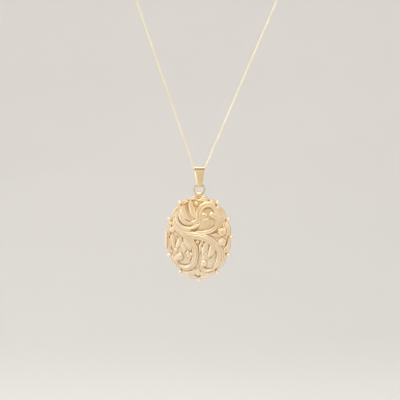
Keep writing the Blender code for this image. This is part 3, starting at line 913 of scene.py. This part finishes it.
def tubeUpright(outer, inner, low, high, soften):
    bm = bmesh.new()
    profile = ((inner, low), (outer, low), (outer, high), (inner, high))
    dots = [bm.verts.new((r, 0, z)) for r, z in profile]
    for first, second in zip(dots, dots[1:] + dots[:1]):
        bm.edges.new((first, second))
    bmesh.ops.spin(
        bm, geom=bm.verts[:] + bm.edges[:], cent=(0, 0, 0), axis=(0, 0, 1),
        angle=fullTurn, steps=48, use_merge=True,
    )
    bmesh.ops.remove_doubles(bm, verts=bm.verts, dist=0.0005 * mm)
    return softenEdges(bm, soften, segments=3)


def makeHinge():
    for side, body, count in (("back", "case_back", 3), ("cover", "cover", 2)):
        for number in range(1, count + 1):
            node = f"{side}_knuckle_{number}"
            low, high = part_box(node)
            middle = (low + high) / 2
            bm = tubeUpright(hinge["radius"] * mm, hinge["bore"] * mm, low.z, high.z, hinge["soften"])
            bmesh.ops.translate(bm, verts=bm.verts, vec=(middle.x, middle.y, 0))
            finishPiece(f"{side}Knuckle{number}", bm, beadGold, body, (node,))
    low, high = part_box("hinge_pin")
    middle = (low + high) / 2
    bm = bmesh.new()
    radius = hinge["pinRadius"] * mm
    bmesh.ops.create_cone(
        bm, cap_ends=True, segments=32, radius1=radius, radius2=radius, depth=high.z - low.z,
        matrix=Matrix.Translation(middle),
    )
    softenEdges(bm, 0.07, segments=3)
    finishPiece("hingePin", bm, wireGold, "case_back", ("hinge_pin",))


makeHinge()
print("hinge ready")


# ---- the cover's carved relief

cover = {
    "columns": 250, "rows": 310, "borderDip": 10.1, "borderCrest": 10.75, "edgeY": 1.34, "fieldY": 1.45,
    "dome": 0.88, "deepest": 3.24, "cutHalf": 3.2, "loopNotch": 0.22, "rollWidth": 1.25, "rollHeight": 0.62, "notchDepth": 0.24, "notchReach": 0.3, "lineDepth": 0.17,
    "scallopEnds": (0, 20, 35, 65, 90, 115, 145, 180),  # degrees from the top, and mirrored
    "beadAngles": (35, 65, 90, 115, 145, 180, 215, 245, 295, 325), "beadHalfWidth": 10.9,
}

# raised strokes: kind, half width, height, then points about the case's middle, all in mm
strokes = (
    ("ribbed", 1.25, 0.74, (-8.7, 8.75), (-8.5, 6.1), (-7.35, 3.65), (-5.2, 1.65), (-2.55, 0.65), (0.05, 0.25),
     (2.4, -0.35), (4.5, -1.6), (6.2, -3.3), (7.0, -5.6), (6.7, -8.1), (5.3, -10.05), (3.2, -11.15), (1.4, -10.55),
     (0.75, -9.1), (1.2, -8.1)),
    ("ribbed", 1.15, 0.76, (-6.2, 2.0), (-4.05, 0.25), (-2.25, -1.75), (-1.2, -4.1), (-1.15, -6.6),
     (-2.1, -8.9), (-4.2, -9.95), (-6.2, -9.5), (-7.55, -8.0), (-7.6, -6.6)),
    ("bud", 1.3, 0.84, (-7.75, -7.6), (-7.3, -6.7), (-6.3, -6.35)),
    ("hollow", 1.25, 0.78, (0.15, 5.1), (0.05, 7.6), (0.9, 9.65), (2.65, 10.65), (4.45, 10.35), (5.85, 8.8),
     (6.35, 6.6), (6.0, 4.45), (4.85, 2.65), (2.85, 1.7), (0.4, 1.5), (-1.9, 1.95)),
    ("round", 0.85, 0.72, (-2.9, 12.7), (-5.4, 11.05), (-7.0, 8.75), (-7.45, 6.8), (-6.8, 4.8), (-5.4, 3.4),
     (-3.55, 2.7), (-1.6, 3.05), (0.25, 4.3)),
    ("leaf", 1.05, 0.55, (-1.2, 12.3), (1.7, 12.4), (4.35, 11.5), (6.55, 9.65), (7.6, 7.1), (7.4, 4.45), (6.15, 2.3)),
    ("leaf", 1.15, 0.62, (-5.05, 11.2), (-5.4, 9.1), (-4.7, 7.25), (-2.65, 5.6)),
    ("leaf", 1.1, 0.66, (-2.75, 12.4), (-2.55, 10.05), (-1.9, 7.9), (0.3, 5.5)),
    ("leaf", 1.0, 0.6, (-6.25, 8.6), (-5.95, 6.6), (-4.7, 5.0), (-2.3, 4.3)),
    ("leaf", 0.65, 0.62, (-2.9, 4.95), (-1.4, 5.1), (0.1, 6.3)),
    ("leaf", 0.55, 0.62, (-2.25, 3.8), (-0.9, 4.6), (0.6, 5.8)),
    ("leaf", 1.6, 0.5, (3.0, 6.0), (1.9, 4.6), (0.2, 2.9)),
    ("bud", 1.15, 0.66, (-0.4, 5.6), (0.5, 6.5), (1.65, 7.15)),
    ("bud", 1.0, 0.76, (6.0, 5.7), (5.4, 6.7), (4.3, 7.45)),
    ("plate", 1.0, 0.34, (2.6, -8.7), (3.4, -9.1), (4.2, -8.9)),
    ("leaf", 1.1, 0.66, (-8.6, 1.2), (-8.8, -1.15), (-8.0, -4.0)),
    ("leaf", 0.95, 0.62, (-5.9, 0.2), (-6.5, -1.65), (-7.7, -4.0)),
    ("leaf", 0.8, 0.5, (-9.9, -2.15), (-9.5, -4.45), (-8.25, -6.6)),
    ("leaf", 1.15, 0.55, (-4.9, -0.35), (-3.4, -2.15), (-2.85, -4.3)),
    ("leaf", 1.0, 0.5, (-5.85, -1.5), (-4.9, -3.3), (-5.0, -5.0)),
    ("leaf", 0.85, 0.58, (-4.2, -4.95), (-2.9, -5.95), (-3.3, -7.45)),
    ("leaf", 1.1, 0.62, (2.85, -1.5), (2.05, -3.45), (1.05, -5.9)),
    ("leaf", 0.8, 0.58, (1.3, -1.15), (0.65, -2.95), (0.15, -5.3)),
    ("leaf", 1.15, 0.6, (4.05, -2.4), (4.4, -4.45), (3.0, -6.65)),
    ("leaf", 1.0, 0.5, (2.5, -5.2), (2.0, -6.6), (0.6, -7.9)),
    ("leaf", 0.95, 0.5, (-0.4, -10.9), (-2.4, -11.9), (-4.95, -11.2)),
    ("leaf", 0.95, 0.5, (0.05, -11.3), (1.9, -12.45), (4.45, -12.0)),
    ("leaf", 0.75, 0.5, (-0.15, -9.9), (-0.25, -11.9), (-0.25, -13.35)),
    ("leaf", 0.9, 0.52, (8.1, 4.9), (9.15, 2.15), (9.25, -0.4)),
    ("leaf", 0.95, 0.5, (9.2, -2.6), (8.7, -5.3), (7.65, -7.65)),
    ("leaf", 0.75, 0.5, (4.0, 1.0), (5.85, 0.7), (7.3, 0.0)),
    ("leaf", 0.9, 0.45, (-9.6, 6.4), (-9.9, 3.6), (-9.6, 0.6)),
    ("leaf", 0.8, 0.45, (8.2, 7.9), (8.9, 5.4), (9.2, 3.3)),
)
# cut lines: half width, depth, points
grooves = (
    (0.22, 0.3, (-7.0, 7.6), (-6.4, 5.45), (-5.0, 4.05), (-3.05, 3.4)),
    (0.4, 0.45, (1.4, 8.75), (2.4, 9.55), (3.85, 9.55), (4.9, 8.55)),
    (0.24, 0.42, (5.6, 5.6), (5.2, 4.3), (4.15, 3.2), (2.4, 2.4)),
    (0.26, 0.3, (3.15, 6.7), (3.75, 6.1), (4.8, 6.0)),
    (0.42, 0.6, (-2.75, 2.4), (-1.25, 2.3), (-0.05, 3.05)),
    (0.34, 0.6, (4.15, 1.35), (5.4, 1.6), (6.3, 2.0)),
    (0.4, 0.5, (-3.7, 11.7), (-3.75, 9.75), (-3.15, 7.95)),
    (0.35, 0.45, (-7.2, 0.85), (-6.9, -0.35)),
    (0.32, 0.55, (-6.5, -7.95), (-5.7, -8.65), (-4.4, -8.95), (-3.1, -8.6), (-2.4, -7.7)),
    (0.2, 0.32, (-6.3, -4.95), (-5.1, -5.6), (-4.85, -6.8), (-5.5, -7.7)),
    (0.24, 0.35, (1.5, -9.4), (2.5, -10.2), (4.05, -10.2), (5.2, -9.15)),
    (0.3, 0.42, (1.05, -2.3), (1.25, -3.15)),
    (0.3, 0.35, (3.35, -6.9), (4.6, -6.4)),
    (0.3, 0.4, (-1.1, -9.55), (-1.0, -10.7)),
    (0.24, 0.32, (5.5, -3.9), (5.75, -5.6), (5.1, -7.6)),
    (0.3, 0.22, (-0.1, -2.9), (-0.05, -6.1), (-0.25, -9.4)),
)
# rounded knobs: x, z, radius, height, petals round it (0 for plain)
knobs = (
    (-0.85, 11.1, 0.85, 0.62, 0), (7.6, 1.75, 1.5, 0.78, 7),
    (7.7, -1.6, 1.5, 0.76, 5), (-0.4, -1.5, 0.68, 0.72, 0), (-8.8, 2.5, 1.05, 0.66, 0), (1.7, -8.65, 1.15, 0.8, 0),
    (-7.5, -4.15, 0.75, 0.6, 0), (-2.65, -5.6, 0.75, 0.68, 0), (-3.6, -4.9, 0.6, 0.6, 0),
    (-3.45, -6.15, 0.62, 0.62, 0),
)
stipple = (3.5, 4.6, 1.0, 0.09)  # x, z, reach and depth of the punched ground


def scallop(degrees):
    # how far out the border stands at these angles from the top: 0 in a dip, 1 on a crest
    degrees = np.mod(degrees, 360)
    degrees = np.minimum(degrees, 360 - degrees)
    out = np.zeros_like(degrees)
    ends = cover["scallopEnds"]
    for start, end in zip(ends, ends[1:]):
        inside = (degrees >= start) & (degrees <= end)
        out[inside] = np.sin(math.pi * (degrees[inside] - start) / (end - start)).clip(0)
    return out


def alongStroke(points):
    # fine samples on a smooth line: places, and how far along each one is, 0 to 1
    line = smoothThrough([Vector((x, 0, z)) for x, z in points], max(12, 14 * len(points)))
    spots = np.array([(p.x, p.z) for p in line])
    return spots, np.linspace(0, 1, len(spots))


def nearest(x, z, spots, gone, reach):
    # for the points within reach: distance to the line and how far along its nearest sample is
    low, high = spots.min(0) - reach, spots.max(0) + reach
    near = np.nonzero((x > low[0]) & (x < high[0]) & (z > low[1]) & (z < high[1]))[0]
    best = np.full(len(near), 1e9)
    part = np.zeros(len(near))
    ends = spots[1:] - spots[:-1]
    for i, way in enumerate(ends):
        dx, dz = x[near] - spots[i, 0], z[near] - spots[i, 1]
        t = ((dx * way[0] + dz * way[1]) / (way @ way)).clip(0, 1)
        far = np.hypot(dx - t * way[0], dz - t * way[1])
        closer = far < best
        best[closer] = far[closer]
        part[closer] = (gone[i] + t * (gone[i + 1] - gone[i]))[closer]
    return near, best, part


def strokeWidth(kind, part):
    if kind == "bud":  # swelling to a round end
        return 0.6 + 0.4 * part
    if kind == "leaf":
        return 0.25 + 0.75 * np.sin(math.pi * part ** 0.8).clip(0)
    if kind == "hollow":
        return np.minimum(1, 0.5 + part * 7) * (1 - 0.6 * part ** 2)
    ends = np.minimum(1, 0.5 + np.minimum(part, 1 - part) * 9)
    return ends * (1 - 0.45 * ((part - 0.7) / 0.3).clip(0)) if kind == "ribbed" else ends


def crossSection(kind, t):
    # the height across a stroke, t from its middle line to its edge
    crown = np.sqrt(1 - t ** 2)
    if kind == "ribbed":  # a middle rib between two more
        return crown ** 0.8 * (1 - 0.30 * np.exp(-((t - 0.42) / 0.11) ** 2))
    if kind == "hollow":  # scooped along the middle
        return crown ** 0.8 * (1 - 0.30 * np.exp(-(t / 0.34) ** 2))
    if kind == "plate":
        return (1 - t ** 4) ** 0.5
    if kind == "leaf":  # creased along the middle
        return crown * (1 - 0.09 * np.exp(-(t / 0.10) ** 2))
    return crown


def carve(x, z):
    # the relief's height over its ground at points about the case's middle, in mm
    height, dark = np.zeros_like(x), np.zeros_like(x)
    for kind, halfWidth, tall, *points in strokes:
        spots, gone = alongStroke(points)
        near, far, part = nearest(x, z, spots, gone, halfWidth)
        width = halfWidth * strokeWidth(kind, part)
        here = tall * crossSection(kind, (far / width).clip(0, 1)) * (0.5 + 0.5 * width / halfWidth)
        height[near] = np.maximum(height[near], here * (far < width))
    for kx, kz, radius, tall, petals in knobs:
        dx, dz = x - kx, z - kz
        far = np.hypot(dx, dz)
        around = np.cos(petals * np.arctan2(dx, dz)) if petals else 1.0
        size = radius * (0.95 + 0.05 * around)
        dome = tall * (1 - (far / size) ** (3.2 if petals else 2.4)).clip(0) ** (0.4 if petals else 0.5)
        if petals:
            dome *= 1 - 0.16 * np.exp(-((far / radius - 0.42) / 0.1) ** 2)
            dome *= 1 - 0.12 * (0.5 - 0.5 * around) * (far / radius > 0.42)
        moat = 0.13 * np.exp(-((far / size - 1.1) / 0.12) ** 2)
        height = np.where(far < size, np.maximum(height, dome), height - moat)
    for halfWidth, deep, *points in grooves:
        spots, gone = alongStroke(points)
        near, far, part = nearest(x, z, spots, gone, halfWidth * 1.8)
        taper = 0.4 + 0.6 * np.sin(math.pi * part)
        cut = taper * np.exp(-(far / (halfWidth * taper)) ** 2 * 1.2)
        height[near] -= deep * cut
        # painted shade: each groove is also painted darker by its depth
        dark[near] = np.maximum(dark[near], cut * deep)
    sx, sz, reach, deep = stipple
    dots = (np.sin(x * 12.6 + np.sin(z * 3)) * np.sin(z * 13.4 + np.sin(x * 4))).clip(0)
    height -= deep * dots * np.exp(-(((x - sx) / reach) ** 2 + ((z - sz) / (1.5 * reach)) ** 2) ** 2)
    return height, dark


def blurred(field, passes):
    for _ in range(passes):
        padded = np.pad(field, 1, mode="edge")
        field = (padded[1:-1, 1:-1] * 2 + padded[:-2, 1:-1] + padded[2:, 1:-1] + padded[1:-1, :-2] + padded[1:-1, 2:]) / 6
    return field


def outlineWidth(angle):
    # the cover's half width by angle, in mm, pulled in beside the knuckles
    width = cover["borderDip"] + (cover["borderCrest"] - cover["borderDip"]) * scallop(np.degrees(angle))
    width = width - cover["loopNotch"] * np.exp(-(np.degrees(angle) / 5.5) ** 2)
    side = np.sin(angle)
    height = caseMiddle.z / mm + (width + ovalExtra / mm) * np.cos(angle) - middleOf("hinge_pin").z / mm
    beside = (side < 0) & (np.abs(height) < cover["cutHalf"])
    limit = cover["borderDip"] / np.maximum(0.5, -side)
    return np.where(beside, np.minimum(width, limit), width)


def coverSurface(u, v):
    # (u, v) of a square from -1 to 1 onto the scalloped oval, then raised into the relief
    sx, sz = u * np.sqrt(1 - v ** 2 / 2), v * np.sqrt(1 - u ** 2 / 2)
    out = np.hypot(sx, sz).clip(0, 1)
    angle = np.arctan2(sx, sz)
    crest = cover["borderCrest"]
    fade = ((out - 0.85) / 0.15).clip(0, 1)
    fade = fade * fade * (3 - 2 * fade)
    halfWidth = crest + (outlineWidth(angle) - crest) * fade
    halfHeight = halfWidth + ovalExtra / mm
    x, z = out * halfWidth * np.sin(angle), out * halfHeight * np.cos(angle)
    reach = np.hypot(halfWidth * np.sin(angle), halfHeight * np.cos(angle))
    inward = (1 - out) * reach  # distance in from the edge
    ground = cover["fieldY"] + cover["dome"] * (1 - out ** 2.6)
    relief, dark = carve(x, z)
    blend = ((inward - 0.3) / 0.7).clip(0, 1)
    lobes = scallop(np.degrees(angle))
    rollWidth = cover["rollWidth"] * (0.5 + 0.75 * lobes)
    t = (2 * (inward / rollWidth) ** 0.75 - 1).clip(-1, 1)
    roll = cover["rollHeight"] * np.sqrt((1 - t ** 2).clip(0)) ** 0.8 * (0.35 + 0.65 * lobes)
    # a fine line follows each lobe's middle
    roll -= cover["lineDepth"] * lobes * np.exp(-((inward / rollWidth - 0.52) / 0.085) ** 2)
    crease = 0.15 * np.exp(-((inward - rollWidth - 0.04) / 0.15) ** 2)
    # a cut runs in from each bead and parts the lobes
    cut = cover["notchDepth"] * np.exp(-(lobes / cover["notchReach"]) ** 4) * np.exp(-((inward - 0.6) / 0.7) ** 2)
    height = np.maximum(relief * blend, roll) - crease - cut
    # painted shade: the cuts are painted darker too
    dark = np.maximum(dark, cut)
    edge = (1 - (inward / 0.3).clip(0, 1)) ** 2
    y = -(ground + height) * (1 - edge) - cover["edgeY"] * edge
    return x, np.maximum(y, -cover["deepest"]), z, height, dark


def makeCover():
    columns, rows = cover["columns"], cover["rows"]
    bm = bmesh.new()
    bmesh.ops.create_grid(bm, x_segments=columns, y_segments=rows, size=1)
    flat = np.array([vert.co[:] for vert in bm.verts])
    x, y, z, height, dark = coverSurface(flat[:, 0], flat[:, 1])
    order = np.lexsort((flat[:, 0], flat[:, 1]))
    field = height[order].reshape(rows + 1, columns + 1)
    cavity = np.zeros(len(flat))
    cavity[order] = (blurred(field, 14) - field).ravel()
    recess = bm.verts.layers.float.new("recess")
    # painted shade: the attribute is high where the relief sits below its blurred surroundings and in the cut lines,
    # so these are painted darker
    for index, vert in enumerate(bm.verts):
        vert.co = caseMiddle + Vector((x[index], y[index], z[index])) * mm
        vert[recess] = min(1, max(0, 0.48 + cavity[index] * 2.2 + dark[index] * 0.8))
    # the sheet's thickness: round the edge and up under the dome, ring by ring
    rings = [(None, 1.2), (-0.3, 1.1), (9.75, 1.1)] + quarterArc(9.2, 2.9, 1.2, 2.1, 7)
    edge = [e for e in bm.edges if e.is_boundary]
    for width, depth in rings:
        made = bmesh.ops.extrude_edge_only(bm, edges=edge)["geom"]
        verts = [item for item in made if isinstance(item, bmesh.types.BMVert)]
        edge = [item for item in made if isinstance(item, bmesh.types.BMEdge) and item.is_boundary]
        for vert in verts:
            at = vert.co - caseMiddle
            if depth == 1.2 and width is None:
                vert.co.y = -depth * mm
                continue
            now = angleOf(at)
            target = width if width > 0 else ovalWidth(at) / mm + width
            vert.co = onOval(target * mm, now, -depth * mm)
    bmesh.ops.holes_fill(bm, edges=edge)
    finishPiece("carvedCover", bm, reliefGold, "cover", ("front_cover",), smooth=60)


def ovalWidth(at):
    # the half width of the case oval through a point about its middle
    low, high = 0.0, 20 * mm
    for _ in range(40):
        width = (low + high) / 2
        if (at.x / width) ** 2 + (at.z / (width + ovalExtra)) ** 2 > 1:
            low = width
        else:
            high = width
    return width


def angleOf(at):
    width = ovalWidth(at)
    return math.atan2(at.x / width, at.z / (width + ovalExtra))


makeCover()
print("carved cover ready")


# ---- the beads between the scallops, each on its foot of solder

bead = {"radius": 0.67, "neck": 0.28, "flare": 0.12}


def makeBeads():
    for number, degrees in enumerate(cover["beadAngles"], start=1):
        node = f"rim_bead_{number}"
        middle = middleOf(node)
        inward = (caseMiddle + Vector((0, middle.y, 0)) - middle).normalized()
        bm = bmesh.new()
        bmesh.ops.create_uvsphere(bm, u_segments=36, v_segments=24, radius=bead["radius"] * mm)
        for vert in bm.verts:  # drawn out to a short neck on the side of the cover
            along = vert.co.z / (bead["radius"] * mm)
            if along > 0.45:
                pull = (along - 0.45) / 0.55
                vert.co.z += pull * bead["neck"] * mm
                vert.co += Vector((vert.co.x, vert.co.y, 0)) * (bead["flare"] * pull)
        turn = Vector((0, 0, 1)).rotation_difference(inward).to_matrix().to_4x4()
        bmesh.ops.transform(bm, verts=bm.verts, matrix=Matrix.Translation(middle) @ turn)
        finishPiece(f"rimBead{number}", bm, beadGold, "cover", (node,))


makeBeads()
print("beads ready")
